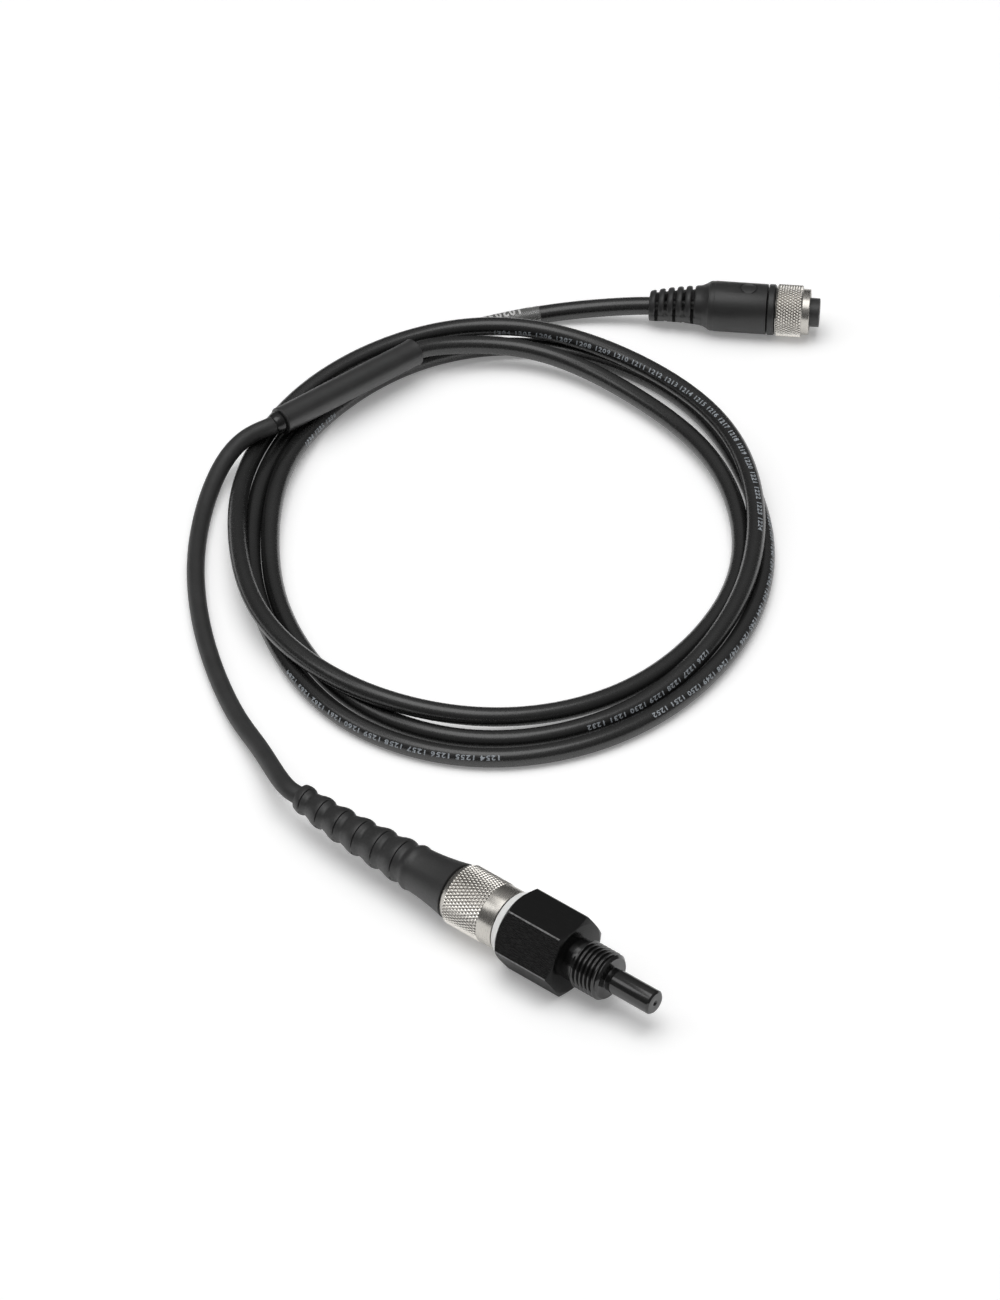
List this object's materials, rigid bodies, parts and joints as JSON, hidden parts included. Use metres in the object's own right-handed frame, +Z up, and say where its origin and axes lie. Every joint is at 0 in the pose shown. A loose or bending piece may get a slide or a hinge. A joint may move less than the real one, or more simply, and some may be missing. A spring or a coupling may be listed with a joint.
{
  "type": "water temperature probe",
  "caption": "Threaded hexagon temperature probe with a tip rod, a knurled coupling nut, a ribbed boot and a coiled, spliced cable that ends in a round plug.",
  "frame": {"origin": "on the surface that the probe lies on, under the middle of the probe with its nut and boot", "axes": "+X along the probe axis towards the sensing tip, +Z up, +Y to the probe's left, where the cable lies"},
  "size_m": [0.2317, 0.2654, 0.0191],
  "materials": {
    "body": "black anodised, brushed on the flats",
    "nickel": "bright nickel plate",
    "boot": "matte moulded",
    "lead": "matte",
    "cable": "semi-gloss",
    "sleeve": "heat-shrunk, satin",
    "plug": "fine moulded texture",
    "insert": "satin",
    "seal": "matte",
    "gold": "gold plate",
    "tinned": "tinned",
    "ceramic": "unglazed ceramic",
    "element": "epoxy coated"
  },
  "bodies": {
    "probe": {"probe_body": "body", "sensing_element": "element", "wire_insulator": "ceramic", "element_wire_1": "tinned", "element_wire_2": "tinned", "receptacle_shell": "nickel", "receptacle_insert": "insert", "contact_pin_1": "gold", "contact_pin_2": "gold", "contact_pin_3": "gold", "contact_pin_4": "gold", "inner_sleeve": "nickel", "socket_insert": "insert", "contact_socket_1": "gold", "contact_socket_2": "gold", "contact_socket_3": "gold", "contact_socket_4": "gold", "face_seal": "seal", "boot": "boot", "lead_cable": "lead", "splice_sleeve": "sleeve", "main_cable": "cable", "plug_body": "plug", "plug_collar": "plug", "plug_insert": "insert", "plug_seal": "seal", "plug_contact_1": "gold", "plug_contact_2": "gold", "plug_contact_3": "gold", "plug_contact_4": "gold"},
    "coupling_nut": {"coupling_nut": "nickel"},
    "plug_ring": {"plug_ring": "nickel"}
  },
  "joints": [
    {"name": "coupling_nut_turn", "type": "hinge", "parent": "probe", "child": "coupling_nut", "pos_m": [0.004, 0, 0.00953], "axis": [1, 0, 0], "continuous": true},
    {"name": "plug_ring_turn", "type": "hinge", "parent": "probe", "child": "plug_ring", "pos_m": [-0.09149, 0.246, 0.0073], "axis": [0.8329, 0.5534, 0], "continuous": true}
  ]
}
